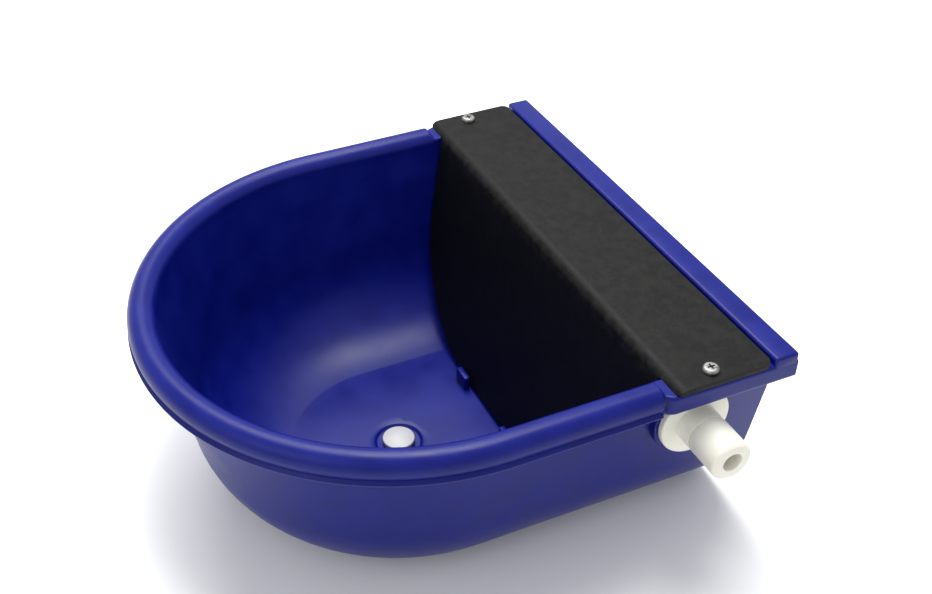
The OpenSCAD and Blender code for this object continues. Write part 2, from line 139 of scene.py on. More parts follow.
def rounded(corners, steps=6, closed=False):
    # An outline through corners (x, y, radius): each corner turns on an arc tangent to its two sides
    corners = [tuple(c) + (0.0,) * (3 - len(c)) for c in corners]
    count = len(corners)
    outline = []
    for k, (x, y, radius) in enumerate(corners):
        here = np.array([x, y])
        if radius <= 0 or (not closed and k in (0, count - 1)):
            outline.append(here[None])
            continue
        before = np.array(corners[k - 1][:2]) - here
        after = np.array(corners[(k + 1) % count][:2]) - here
        before = before / np.linalg.norm(before)
        after = after / np.linalg.norm(after)
        half = np.arccos(np.clip(before @ after, -1, 1)) / 2
        middle = (before + after) / np.linalg.norm(before + after)
        centre = here + middle * radius / sin(half)
        first = here + before * radius / tan(half) - centre
        last = here + after * radius / tan(half) - centre
        start = atan2(first[1], first[0])
        turn = (atan2(last[1], last[0]) - start + pi) % (2 * pi) - pi
        angle = start + turn * np.linspace(0, 1, steps + 1)
        outline.append(centre + radius * np.stack([np.cos(angle), np.sin(angle)], 1))
    return np.concatenate(outline)


def alongAxis(axis, centre, across, up, place):
    # Points whose two cross coordinates and place along an axis are given, in the frame's order
    order = {"X": (2, 0, 1), "Y": (0, 2, 1), "Z": (0, 1, 2)}[axis]
    local = [centre[0] + across, centre[1] + up, place]
    return np.stack([local[order[0]], local[order[1]], local[order[2]]], -1)


def lathe(name, profile, centre, axis="Z", segments=96, limit=None):
    # A profile of (radius, place) turned round an axis; limit(angle) holds the radius back
    profile = np.asarray(profile, float)
    angle = np.linspace(0, 2 * pi, segments, endpoint=False)[:, None]
    radius = np.repeat(profile[None, :, 0], segments, 0)
    if limit is not None:
        radius = np.minimum(radius, limit(angle))
    place = np.repeat(profile[None, :, 1], segments, 0)
    points = alongAxis(axis, centre, radius * np.cos(angle), radius * np.sin(angle), place)
    return makeObject(name, points.reshape(-1, 3), gridFaces(segments, len(profile), wrap=True))


def rod(name, radius, ends, centre, axis="Z", segments=32):
    # A plain cylinder between two places along an axis
    first, last = ends
    return lathe(name, [(0, first), (radius, first), (radius, last), (0, last)], centre, axis, segments)


def prism(name, outline, low, high, axis="Y"):
    # A closed outline carried between two places along an axis, with a face on each end
    outline = np.asarray(outline, float)
    count = len(outline)
    across, up = outline.T
    ends = [alongAxis(axis, (0, 0), across, up, np.full(count, place)) for place in (low, high)]
    sides = gridFaces(2, count)
    closing = [[count - 1, 0, count, 2 * count - 1]]
    caps = [list(range(count)), list(range(count, 2 * count))]
    return makeObject(name, np.concatenate(ends), sides.tolist() + closing + caps)


def block(name, low, high, radius=0.0):
    # A box between two corners, its edges rounded
    corners = [(low[0], low[1]), (high[0], low[1]), (high[0], high[1]), (low[0], high[1])]
    piece = prism(name, corners, low[2], high[2], axis="Z")
    if radius > 0:
        bevel(piece, radius, segments=4)
        freeze(piece)
    return piece


def bevel(piece, width, segments=3, angle=30):
    # Rounds every edge sharper than an angle
    modifier = piece.modifiers.new("Bevel", "BEVEL")
    modifier.width = width
    modifier.segments = segments
    modifier.limit_method = "ANGLE"
    modifier.angle_limit = radians(angle)
    modifier.use_clamp_overlap = True
    modifier.miter_outer = "MITER_ARC"


def solidify(piece, thickness):
    # Gives a sheet its wall, on the inner side of its faces
    modifier = piece.modifiers.new("Wall", "SOLIDIFY")
    modifier.thickness = thickness
    modifier.offset = -1
    modifier.use_even_offset = True


def freeze(piece):
    # Keeps the mesh that the modifiers give, and drops the modifiers
    graph = bpy.context.evaluated_depsgraph_get()
    mesh = bpy.data.meshes.new_from_object(piece.evaluated_get(graph))
    piece.modifiers.clear()
    piece.data = mesh
    mesh.name = piece.name


def carve(piece, joined=(), cut=()):
    # Joins some solids to a piece and cuts others out of it, then removes the tools
    for operation, tools in (("UNION", joined), ("DIFFERENCE", cut)):
        for tool in tools:
            modifier = piece.modifiers.new(operation, "BOOLEAN")
            modifier.operation = operation
            modifier.solver = "MANIFOLD"
            modifier.object = tool
    freeze(piece)
    for tool in (*joined, *cut):
        bpy.data.objects.remove(tool)
    return piece


def smooth(piece, angle=32):
    # Smooth shading that breaks at edges sharper than an angle
    mesh = piece.data
    mesh.polygons.foreach_set("use_smooth", np.ones(len(mesh.polygons), bool))
    mesh.set_sharp_from_angle(angle=radians(angle))
    mesh.update()


def finishPiece(piece, body, material, slot, *replaced):
    # Gives a piece its finish, the CAD body it moves with and the CAD nodes it stands for
    piece.data.materials.clear()
    piece.data.materials.append(material)
    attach(piece, body)
    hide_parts(*replaced)


# ---- materials


class Socket:
    # An output of a shader node; arithmetic on it adds Math nodes
    def __init__(self, shader, output):
        self.shader = shader
        self.output = output

    def maths(self, operation, first, second):
        return self.shader.node("Math", {"operation": operation}, {0: first, 1: second})

    def __add__(self, other):
        return self.maths("ADD", self, other)

    def __radd__(self, other):
        return self.maths("ADD", other, self)

    def __mul__(self, other):
        return self.maths("MULTIPLY", self, other)

    def __rmul__(self, other):
        return self.maths("MULTIPLY", other, self)


class Shader:
    # One material's node tree, with a Principled shader at its end
    def __init__(self, name, **constants):
        self.material = bpy.data.materials.new(name)
        self.material.use_nodes = True
        self.tree = self.material.node_tree
        self.principled = self.tree.nodes["Principled BSDF"]
        self.place = self.node("TexCoord", out="Object")
        for socket, value in constants.items():
            self.principled.inputs[socket.replace("_", " ")].default_value = value

    def node(self, kind, settings=None, inputs=None, out=0):
        # Any node: its type, its settings, and its sockets' values or links
        made = self.tree.nodes.new("ShaderNode" + kind)
        for key, value in (settings or {}).items():
            setattr(made, key, value)
        for key, value in (inputs or {}).items():
            self.feed(made.inputs[key], value)
        return Socket(self, made.outputs[out])

    def feed(self, socket, value):
        # Links a socket, or sets its value
        if isinstance(value, Socket):
            self.tree.links.new(value.output, socket)
        else:
            socket.default_value = value

    def noise(self, scale, detail=2.0, stretch=(1, 1, 1), rough=0.5):
        # Noise of so many cells a metre, stretched along the axes
        place = self.node("Mapping", {}, {"Vector": self.place, "Scale": stretch})
        inputs = {"Vector": place, "Scale": scale, "Detail": detail, "Roughness": rough}
        return self.node("TexNoise", {}, inputs)

    def spread(self, value, low, high, dark=0.0, light=1.0):
        # A value's stretch from low to high, spread from dark to light
        return self.node("MapRange", {}, {0: value, 1: low, 2: high, 3: dark, 4: light})

    def blend(self, amount, first, second):
        # Two colours mixed by an amount
        return self.node("Mix", {"data_type": "RGBA"}, {0: amount, 6: first, 7: second}, out=2)

    def bump(self, height, distance, strength=1.0):
        # A relief of so many metres
        return self.node("Bump", {}, {"Height": height, "Distance": distance, "Strength": strength})

    def finish(self, **varying):
        # Feeds the Principled shader's sockets and gives the material
        for socket, value in varying.items():
            self.feed(self.principled.inputs[socket.replace("_", " ")], value)
        return self.material


def colour(red, green, blue):
    # An opaque colour
    return (red, green, blue, 1.0)


bluePlasticLook = {
    "deep": colour(0.0012, 0.0042, 0.125),
    "pale": colour(0.0024, 0.0066, 0.15),
    "patchesPerMetre": 55,
    "roughness": (0.33, 0.45),
    "peelPerMetre": 900,
    "peelDepth": 0.025 * mm,
    "wavesPerMetre": 22,
    "waveDepth": 0.1 * mm,
    "rubsPerMetre": 160,
}


def bluePlastic():
    # Polyethylene: cloudy blue, a soft orange-peel skin, long faint flow waves and fine rub marks
    look = bluePlasticLook
    shader = Shader("bluePlastic", IOR=1.5, Specular_IOR_Level=0.22)
    cloud = shader.spread(shader.noise(look["patchesPerMetre"], 4), 0.35, 0.65)
    rub = shader.spread(shader.noise(look["rubsPerMetre"], 5, (1, 1, 6), 0.7), 0.5, 0.75)
    peel = shader.noise(look["peelPerMetre"], 2)
    wave = shader.noise(look["wavesPerMetre"], 2)
    low, high = look["roughness"]
    relief = shader.bump(peel * look["peelDepth"] + wave * look["waveDepth"], 1.0)
    return shader.finish(
        Base_Color=shader.blend(cloud, look["deep"], look["pale"]),
        Roughness=shader.spread(cloud * 0.5 + rub * 0.5, 0, 1, low, high),
        Normal=relief,
    )


blackPlasticLook = {
    "deep": colour(0.001, 0.001, 0.0011),
    "pale": colour(0.0092, 0.0092, 0.008),
    "paintedLightFrom": 6 * mm,  # height where the mottle's painted light on the flat top starts, and where it is full
    "paintedLightFull": 13 * mm,
    "paintedShadeShare": 0.12,  # share of the mottle left below its start, so the lower guard stays dark as painted shade
    "roughness": (0.5, 0.68),
    "mottlePerMetre": 170,
    "grainPerMetre": 1100,
    "grainDepth": 0.05 * mm,
    "mottleDepth": 0.04 * mm,
}


def blackPlastic():
    # Black moulding: a sand-like grain, and a mottled grey bloom that is painted light, full on its flat top
    # and fading to painted shade lower down
    look = blackPlasticLook
    shader = Shader("blackPlastic", IOR=1.5, Specular_IOR_Level=0.16)
    mottle = shader.noise(look["mottlePerMetre"], 8, rough=0.68)
    height = shader.node("SeparateXYZ", {}, {0: shader.place}, out=2)
    # painted light and shade: the grey mottle is full on the flat top and mostly gone lower down, where the
    # guard hangs in shade
    paintedTopLight = shader.spread(height, look["paintedLightFrom"], look["paintedLightFull"], look["paintedShadeShare"])
    cloud = shader.spread(mottle, 0.42, 0.66) * paintedTopLight
    grain = shader.noise(look["grainPerMetre"], 3)
    low, high = look["roughness"]
    relief = shader.bump(grain * look["grainDepth"] + mottle * look["mottleDepth"], 1.0)
    return shader.finish(
        Base_Color=shader.blend(cloud, look["deep"], look["pale"]),
        Roughness=shader.spread(cloud * 0.6 + grain * 0.4, 0.2, 0.8, low, high),
        Normal=relief,
    )


palePlasticLook = {
    "cloudsPerMetre": 40,
    "skinPerMetre": 1100,
    "skinDepth": 0.03 * mm,
    "scatter": 2 * mm,
}


def palePlastic(name, deep, pale, roughness, subsurface=0.0):
    # Natural plastic: milky clouds and a matt, finely grained skin
    look = palePlasticLook
    shader = Shader(name, IOR=1.53, Subsurface_Weight=subsurface, Subsurface_Scale=look["scatter"])
    cloud = shader.spread(shader.noise(look["cloudsPerMetre"], 3), 0.35, 0.65)
    skin = shader.noise(look["skinPerMetre"], 2)
    low, high = roughness
    return shader.finish(
        Base_Color=shader.blend(cloud, deep, pale),
        Roughness=shader.spread(cloud, 0, 1, low, high),
        Normal=shader.bump(skin, look["skinDepth"]),
    )


def blackRubber():
    # Nitrile rubber: a dull black with a dusty bloom
    shader = Shader("blackRubber", IOR=1.5)
    dust = shader.spread(shader.noise(300, 5, rough=0.7), 0.4, 0.7)
    return shader.finish(
        Base_Color=shader.blend(dust, colour(0.012, 0.012, 0.012), colour(0.04, 0.039, 0.037)),
        Roughness=shader.spread(dust, 0, 1, 0.6, 0.85),
        Normal=shader.bump(shader.noise(1500, 3), 0.04 * mm),
    )


def bareMetal(name, deep, pale, roughness, stretch):
    # Turned or plated metal: fine drawn lines and a slightly dull, uneven skin
    shader = Shader(name, Metallic=1.0)
    cloud = shader.spread(shader.noise(400, 4), 0.35, 0.7)
    lines = shader.noise(2500, 2, stretch)
    low, high = roughness
    return shader.finish(
        Base_Color=shader.blend(cloud, deep, pale),
        Roughness=shader.spread(cloud * 0.6 + lines * 0.4, 0.2, 0.8, low, high),
        Normal=shader.bump(lines, 0.01 * mm),
    )


finishes = {
    "bowl_plastic": bluePlastic(),
    "cover_plastic": blackPlastic(),
    "plug_plastic": palePlastic(
        "whitePlastic", colour(0.36, 0.36, 0.37), colour(0.42, 0.42, 0.43), (0.4, 0.5)
    ),
    "fitting_plastic": palePlastic(
        "nylonPlastic", colour(0.68, 0.67, 0.58), colour(0.76, 0.75, 0.66), (0.38, 0.5), subsurface=0.25
    ),
    "lever_plastic": palePlastic(
        "acetalPlastic", colour(0.46, 0.46, 0.42), colour(0.55, 0.55, 0.51), (0.4, 0.5)
    ),
    "float_plastic": palePlastic(
        "floatPlastic", colour(0.5, 0.5, 0.46), colour(0.6, 0.6, 0.56), (0.42, 0.55)
    ),
    "rubber": blackRubber(),
    "screw_steel": bareMetal(
        "zincSteel", colour(0.2, 0.2, 0.19), colour(0.36, 0.36, 0.34), (0.4, 0.6), (1, 1, 4)
    ),
    "seat_brass": bareMetal(
        "turnedBrass", colour(0.55, 0.36, 0.12), colour(0.78, 0.56, 0.24), (0.2, 0.35), (6, 1, 1)
    ),
}
print("materials ready:", len(finishes))

# ---- bowl

bowlShape = {
    "rimWidth": 15 * mm,
    "wall": 3 * mm,
    "floor": 4 * mm,
    "draft": radians(9.5),
    "outerCorner": 55 * mm,
    "innerCorner": 54 * mm,
    "crease": radians(11),  # angle at which the round corner meets the flat floor
    "crestDrop": 0.5 * mm,
    "rimDrop": 14 * mm,
    "lipRoll": 0.6 * mm,  # how far the lip's lower edge stands out from the skirt above it
    "ledgeDrop": 4 * mm,
    "earLength": 70 * mm,
    "earSkirt": 10.5 * mm,
    "earCorner": 6 * mm,
    "beadEnd": 3 * mm,  # length over which the rolled rim runs out into the ear
    "stripDepth": 13 * mm,
    "stripRound": 1.6 * mm,
    "ledgeDepth": 7 * mm,
    "screwInset": 7.5 * mm,
    "screwY": -43.5 * mm,
    "screwBoss": 5 * mm,
    "pilotRadius": 2.05 * mm,
    "holePitch": 170 * mm,
    "holeRadius": 4.25 * mm,
    "holeBoss": 9 * mm,
    "holeBossDepth": 8 * mm,
    "padRadius": 20.478 * mm,
    "boreRadius": 10.8 * mm,
    "recessRadius": 14 * mm,
    "recessDepth": 1.8 * mm,
    "drainRadius": 6.6 * mm,
    "lugPitch": 56 * mm,
    "lugSize": (12 * mm, 4 * mm, 9 * mm),
}

ledgeZ = topZ - bowlShape["ledgeDrop"]
floorZ = baseZ + bowlShape["floor"]
crestZ = topZ - bowlShape["crestDrop"]
rimInner = halfWidth - bowlShape["rimWidth"]
rimRadius = bowlShape["rimWidth"] / 2
archZ = crestZ - rimRadius
lipZ = crestZ - bowlShape["rimDrop"]
skirtZ = ledgeZ - bowlShape["earSkirt"]
frontY = bowlLow.y + halfWidth
archSteps = 37  # points over the rim or the ear, and as many underneath


def wallProfile(foot, corner, top, counts, crease=0.0):
    # Half section of a bowl's face from its middle outwards: floor, round corner, leaning wall up to a top.
    # A crease starts the corner's arc late, and its tangent there runs down to the floor
    lean = bowlShape["draft"]
    midZ = foot + corner
    midX = top - archZ * tan(lean) - (corner - sin(lean) * midZ) / cos(lean)
    angle = np.linspace(crease - pi / 2, -lean, counts[1] + 1)
    edgeX = midX + corner * tan(crease / 2)
    floor = np.stack([np.linspace(0, edgeX, counts[0], endpoint=False), np.full(counts[0], foot)], 1)
    if crease > 0:
        step = 0.35 * mm  # the crease is eased over this length on each side
        before = [edgeX - step, foot]
        after = [edgeX + step * cos(crease), foot + step * sin(crease)]
        floor = np.concatenate([floor, [before, after]])
    bend = np.stack([midX + corner * np.cos(angle), midZ + corner * np.sin(angle)], 1)
    rise = np.linspace(0, 1, counts[2] + 1)[1:, None]
    wall = bend[-1] + rise * (np.array([top, archZ]) - bend[-1])
    return np.concatenate([floor, bend, wall])


def evenly(outline, count):
    # An outline resampled at equal steps of its length
    steps = np.linalg.norm(np.diff(outline, axis=0), axis=1)
    run = np.concatenate([[0], np.cumsum(steps)])
    want = np.linspace(0, run[-1], count)
    return np.stack([np.interp(want, run, outline[:, k]) for k in (0, 1)], 1)


def rimProfile(outerX, lipFoot, arched, roll):
    # Rolled rim or flat ear: over the top from the bowl's inner face, down the skirt, and back underneath
    wall = bowlShape["wall"]
    skinX = outerX - roll
    if arched:
        angle = np.linspace(pi, 0, archSteps)
        span = (skinX - rimInner) / 2
        above = np.stack([rimInner + span * (1 + np.cos(angle)), archZ + rimRadius * np.sin(angle)], 1)
        back = angle[::-1]
        underR = rimRadius - wall
        under = np.stack([rimInner + rimRadius + underR * np.cos(back), archZ + underR * np.sin(back)], 1)
    else:
        above = evenly(rounded([
            (rimInner, archZ),
            (rimInner, ledgeZ, 1.2 * mm),
            (skinX, ledgeZ, 2 * mm),
            (skinX, archZ),
        ]), archSteps)
        under = evenly(rounded([
            (outerX - wall, archZ),
            (outerX - wall, ledgeZ - wall, 0.8 * mm),
            (rimInner + wall, ledgeZ - wall, 0.8 * mm),
            (rimInner + wall, archZ),
        ]), archSteps)
    edge = wall / 2
    turn = np.linspace(0, -pi, 9)
    lip = np.stack([outerX - edge + edge * np.cos(turn), lipFoot + edge + edge * np.sin(turn)], 1)
    tuck = 1.6 * roll  # the roll curls in below its widest place, then the lip stands out again
    flare = np.array([[skinX - tuck / 3, lipFoot + 3 * edge], [skinX - tuck, lipFoot + 1.9 * edge]])
    rise = np.array([[outerX - wall, lipFoot + 1.8 * edge], [outerX - wall, lipFoot + 2.6 * edge]])
    return np.concatenate([above[:-1], [above[-1] - [0, 0.05 * mm]], flare, lip, rise, under])


def bowlSection(y):
    # The bowl's closed half section where the path stands at y: bead in front, ear behind, blended between
    counts = (10, 26, 14)
    inner = wallProfile(floorZ, bowlShape["innerCorner"], rimInner, counts, bowlShape["crease"])
    outer = wallProfile(baseZ, bowlShape["outerCorner"], rimInner + bowlShape["wall"], counts)[::-1]
    bead = rimProfile(halfWidth, lipZ, True, bowlShape["lipRoll"])
    corner = bowlShape["earCorner"]
    into = np.clip(y + bowlShape["earLength"], 0, corner)
    earX = halfWidth - corner + sqrt(corner**2 - (corner - into) ** 2)
    ear = rimProfile(earX, skirtZ, False, 0.0)
    t = np.clip((y + bowlShape["earLength"]) / bowlShape["beadEnd"] + 0.5, 0, 1)
    share = t * t * (3 - 2 * t)
    return np.concatenate([inner[:-1], bead + share * (ear - bead), outer[1:]])


def bowlShell():
    # The half section carried down one side, round the front and back up the other side
    end = -bowlShape["earLength"]
    corner = bowlShape["earCorner"]
    fade = bowlShape["beadEnd"]
    side = np.concatenate([
        np.linspace(0, end + corner, 24, endpoint=False),
        end + corner * np.linspace(1, 0.3, 10, endpoint=False) ** 2,
        np.linspace(end + 0.6 * fade, end - 0.6 * fade, 22, endpoint=False),
        np.linspace(end - 0.6 * fade, frontY, 26, endpoint=False),
    ])
    side = np.sort(np.unique(side))[::-1]
    turn = np.linspace(0, pi, 161)
    front = bowlSection(frontY)
    rightSide = []
    for y in side:
        x, z = bowlSection(y).T
        rightSide.append(np.column_stack([x, np.full(len(x), y), z]))
    x, z = front.T
    nose = [np.column_stack([x * cos(a), frontY - x * sin(a), z]) for a in turn]
    leftSide = [p * [-1, 1, 1] for p in rightSide[::-1]]
    rows = np.array(rightSide + nose + leftSide)
    count = rows.shape[1]
    faces = gridFaces(len(rows), count).tolist()
    # the two ends against the wall, each closed as a ladder
    for first in (0, (len(rows) - 1) * count):
        faces += [[first + k, first + k + 1, first + count - 2 - k, first + count - 1 - k]
                  for k in range(count // 2 - 1)]
        if count % 2:
            faces.append([first + count // 2 + k for k in (-1, 0, 1)])
    return makeObject("bowl_moulding", rows.reshape(-1, 3), faces)


def bowlBack():
    # The plate that closes the bowl against the wall, a hair inside the shell's outline
    inset = 0.5 * mm
    top = rimInner + bowlShape["wall"] - inset
    outer = wallProfile(baseZ + inset, bowlShape["outerCorner"], top, (4, 26, 4))
    half = np.concatenate([outer[1:], [[rimInner + 2.5 * mm, topZ - 2 * mm]]])
    outline = np.concatenate([half, (half * [-1, 1])[::-1]])
    return prism("back", outline, -bowlShape["wall"], -0.02 * mm)


def sideTools(side):
    # What one side joins and cuts: the wall hole's boss and hole, the screw's post and pilot hole, and a lug
    shape = bowlShape
    depth = shape["holeBossDepth"]
    holePlace = (side * shape["holePitch"] / 2, 0)
    boss = lathe("boss", rounded([
        (0, -over),
        (shape["holeBoss"], -over),
        (shape["holeBoss"], -depth, 1 * mm),
        (0, -depth),
    ]), holePlace, "Y", 64)
    hole = rod("hole", shape["holeRadius"], (over, -depth - over), holePlace, "Y", 48)
    screwPlace = (side * (halfWidth - shape["screwInset"]), shape["screwY"])
    postTop = ledgeZ - shape["wall"] / 2
    post = lathe("post", rounded([
        (0, skirtZ),
        (shape["screwBoss"], skirtZ, 0.8 * mm),
        (shape["screwBoss"], postTop),
        (0, postTop),
    ]), screwPlace, "Z", 48)
    pilot = rod("pilot", shape["pilotRadius"], (skirtZ - over, ledgeZ + over), screwPlace)
    width, length, height = shape["lugSize"]
    lugX = side * shape["lugPitch"] / 2
    lugY = coverLow.y - 0.5 * mm - length
    low = (lugX - width / 2, lugY, floorZ - over)
    high = (lugX + width / 2, lugY + length, floorZ + height)
    return [boss, post, block("lug", low, high, 1.2 * mm)], [hole, pilot]


def inletTools():
    # The round pad that the nut and the gasket seat on, and the bore through it
    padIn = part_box("inlet_gasket")[1].x
    padOut = nutLow.x
    reach = bowlShape["padRadius"]
    pad = rounded([(0, padIn), (reach, padIn, 0.6 * mm), (reach, padOut, 0.2 * mm), (0, padOut)])
    centre = (inletY, inletZ)
    ends = (padIn - 2 * over, padOut + 2 * over)
    return lathe("pad", pad, centre, "X", 96), rod("inlet", bowlShape["boreRadius"], ends, centre, "X", 96)


def drainTool():
    # The drain hole and the shallow recess over it, its rim eased into the floor
    shape = bowlShape
    foot = floorZ - shape["recessDepth"]
    reach = shape["recessRadius"]
    return lathe("drain", rounded([
        (0, baseZ - over),
        (shape["drainRadius"], baseZ - over),
        (shape["drainRadius"], foot, 0.3 * mm),
        (reach - 1.8 * mm, foot, 0.8 * mm),
        (reach - 0.4 * mm, floorZ - 0.4 * mm, 0.6 * mm),
        (reach + 1.2 * mm, floorZ + 0.02 * mm),
        (reach + 1.2 * mm, floorZ + 3 * over),
        (0, floorZ + 3 * over),
    ]), (0, drainY), "Z", 96)


def makeBowl():
    # The shell with its back, strip, ledge, bosses, lugs and pad joined to it, and its holes cut
    shape = bowlShape
    stripDepth = shape["stripDepth"]
    stripFoot = ledgeZ - shape["wall"]
    low = (-halfWidth, -stripDepth, stripFoot)
    strip = block("strip", low, (halfWidth, 0, topZ), shape["stripRound"])
    ledgeX = rimInner + over
    low = (-ledgeX, -stripDepth - shape["ledgeDepth"], stripFoot + 0.1 * mm)
    ledge = block("ledge", low, (ledgeX, -stripDepth / 2, ledgeZ - 0.1 * mm))
    joined = [bowlBack(), strip, ledge]
    cut = []
    for side in (-1, 1):
        added, removed = sideTools(side)
        joined += added
        cut += removed
    pad, bore = inletTools()
    moulding = carve(bowlShell(), [*joined, pad], [*cut, bore, drainTool()])
    smooth(moulding)
    finishPiece(moulding, "trough", finishes["bowl_plastic"], "bowl_plastic", "bowl")
    return moulding


moulding = makeBowl()
print("bowl moulded:", len(moulding.data.polygons), "faces")

# ---- cover

coverShape = {
    "thickness": 3 * mm,
    "fold": 6 * mm,
    "lean": radians(13),
    "sideGap": 1.5 * mm,
    "footCorner": 85 * mm,
    "edgeRound": 0.9 * mm,
    "rearCorner": 4 * mm,
    "frontCorner": 3 * mm,
    "holeRadius": 2.3 * mm,
}


def coverRows():
    # The cover's outer face as rows from its rear edge to its foot: place (y, z) and half width of each row
    fold = coverShape["fold"]
    lean = coverShape["lean"]
    topY = coverHigh.y
    foldZ = coverHigh.z - fold
    draft = bowlShape["draft"]
    corner = coverShape["footCorner"]
    arcZ = coverLow.z + corner
    sideX = rimInner - archZ * tan(draft) - coverShape["sideGap"]
    arcX = sideX - (corner - sin(draft) * arcZ) / cos(draft)
    sideZ = arcZ - corner * sin(draft)
    faceTopZ = foldZ + fold * sin(lean)
    faceTopY = coverLow.y + (faceTopZ - coverLow.z) * tan(lean)
    foldY = faceTopY + fold * cos(lean)
    earAngle = pi - np.arcsin((ledgeZ - foldZ) / fold)
    angle = np.sort(np.append(np.linspace(pi / 2, pi - lean, 20), earAngle))
    rear = coverShape["rearCorner"]
    rearY = topY - rear * (1 - np.cos(np.linspace(0, pi / 2, 9)))
    flat = np.concatenate([rearY, np.linspace(topY - rear, foldY, 22)[1:-1]])
    upper = np.linspace(faceTopZ, sideZ, 8)[1:]
    turn = np.linspace(draft, pi / 2, 41)[1:]
    face = np.concatenate([upper, arcZ - corner * np.sin(turn)])
    z = np.concatenate([np.full(len(flat), coverHigh.z), foldZ + fold * np.sin(angle), face])
    y = np.concatenate([flat, foldY + fold * np.cos(angle), faceTopY - (faceTopZ - face) * tan(lean)])
    half = np.concatenate([sideX + z[:-len(turn)] * tan(draft), arcX + corner * np.cos(turn)])
    return y, z, half


def makeCover():
    # The rows as a sheet with a wing over each ear, given its wall, its screw holes and round edges
    y, z, half = coverRows()
    across = np.linspace(-1, 1, 61)
    points = np.stack(np.broadcast_arrays(across[None] * half[:, None], y[:, None], z[:, None]), -1)
    faces = gridFaces(*points.shape[:2])
    # the two wings over the ears, as far down the fold as the ear's top
    wingRows = int(np.argmax(z < ledgeZ - 0.01 * mm))
    inside = half[:wingRows, None]
    run = np.concatenate([[0], np.cumsum(np.hypot(np.diff(y[:wingRows]), np.diff(z[:wingRows])))])
    reach = np.full(wingRows, halfWidth)
    for corner, away in ((coverShape["rearCorner"], run), (coverShape["frontCorner"], run[-1] - run)):
        short = np.clip(corner - away, 0, corner)
        reach -= corner - np.sqrt(corner**2 - short**2)
    wing = inside + np.linspace(0, 1, 13) * (reach[:, None] - inside)
    wingPoints = np.stack(np.broadcast_arrays(wing, y[:wingRows, None], z[:wingRows, None]), -1)
    wingFaces = gridFaces(*wingPoints.shape[:2])
    count = points.shape[0] * points.shape[1]
    wingCount = wingPoints.shape[0] * wingPoints.shape[1]
    mirrored = wingPoints * [-1, 1, 1]
    allPoints = np.concatenate([group.reshape(-1, 3) for group in (points, wingPoints, mirrored)])
    allFaces = np.concatenate([faces, wingFaces + count, wingFaces[:, ::-1] + count + wingCount])
    cover = makeObject("cover_moulding", allPoints, allFaces)
    mesh = cover.data
    if mesh.polygons[0].normal.z < 0:
        mesh.flip_normals()
    solidify(cover, coverShape["thickness"])
    freeze(cover)
    screwX = halfWidth - bowlShape["screwInset"]
    ends = (ledgeZ - 2 * over, topZ + 2 * over)
    holes = []
    for side in (-1, 1):
        place = (side * screwX, bowlShape["screwY"])
        holes.append(rod("hole", coverShape["holeRadius"], ends, place))
    bevel(cover, coverShape["edgeRound"], 3, 40)
    freeze(cover)
    carve(cover, [], holes)
    smooth(cover)
    finishPiece(cover, "trough", finishes["cover_plastic"], "cover_plastic", "cover")
    return cover


cover = makeCover()
print("cover moulded:", len(cover.data.polygons), "faces")

# ---- screws, plug and nut

screwShape = {
    "shank": 2 * mm,
    "length": 12 * mm,
    "head": 4 * mm,
    "height": 2.4 * mm,
    "recess": (0.95 * mm, 3.8 * mm, 1.5 * mm),  # width, length and depth of the cross
    "threadStep": 0.5 * mm,
    "threadRoot": 0.82,  # the thread's root as a share of the shank
}


def makeScrews():
    # Pan heads: a crowned button with a cross driven into it, on a shank ringed by thread ridges
    screws = []
    shape = screwShape
    shank = shape["shank"]
    seat = coverHigh.z
    tip = seat - shape["length"]
    top = seat + shape["height"]
    for side in (-1, 1):
        place = (side * (halfWidth - bowlShape["screwInset"]), bowlShape["screwY"])
        thread = np.arange(-shape["length"] + 1.2 * mm, -0.8 * mm, shape["threadStep"])
        crests = np.arange(len(thread)) % 2
        ridges = np.column_stack([np.where(crests, shank, shank * shape["threadRoot"]), thread + seat])
        head = rounded([
            (shank, seat),
            (shape["head"], seat, 0.3 * mm),
            (shape["head"], top, 1.5 * mm),
            (0, top),
        ], 8)
        profile = np.concatenate([[(0, tip), (0.6 * mm, tip)], ridges, [(shank, seat - 0.3 * mm)], head])
        width, length, depth = shape["recess"]
        cross = []
        for a, b in ((width, length), (length, width)):
            low = (place[0] - a / 2, place[1] - b / 2, top - depth)
            high = (place[0] + a / 2, place[1] + b / 2, top + over)
            cross.append(block("slot", low, high))
        screws.append(carve(lathe("screw", profile, place, "Z", 48), [], cross))
    return joinPieces("pan_screws", screws)


def joinPieces(name, pieces):
    # Several meshes as one object of separate shells
    work = bmesh.new()
    for piece in pieces:
        work.from_mesh(piece.data)
    mesh = bpy.data.meshes.new(name)
    work.to_mesh(mesh)
    work.free()
    for piece in pieces:
        bpy.data.objects.remove(piece)
    joined = bpy.data.objects.new(name, mesh)
    bpy.context.scene.collection.objects.link(joined)
    return joined


screws = makeScrews()
smooth(screws)
finishPiece(screws, "trough", finishes["screw_steel"], "screw_steel", "cover_screws")


plugShape = {
    "crown": 1.8 * mm,
    "headEdge": 2.4 * mm,  # height of the head's straight side
    "stem": 6.3 * mm,
    "bore": 4.8 * mm,
    "boreDepth": 1.5 * mm,
}


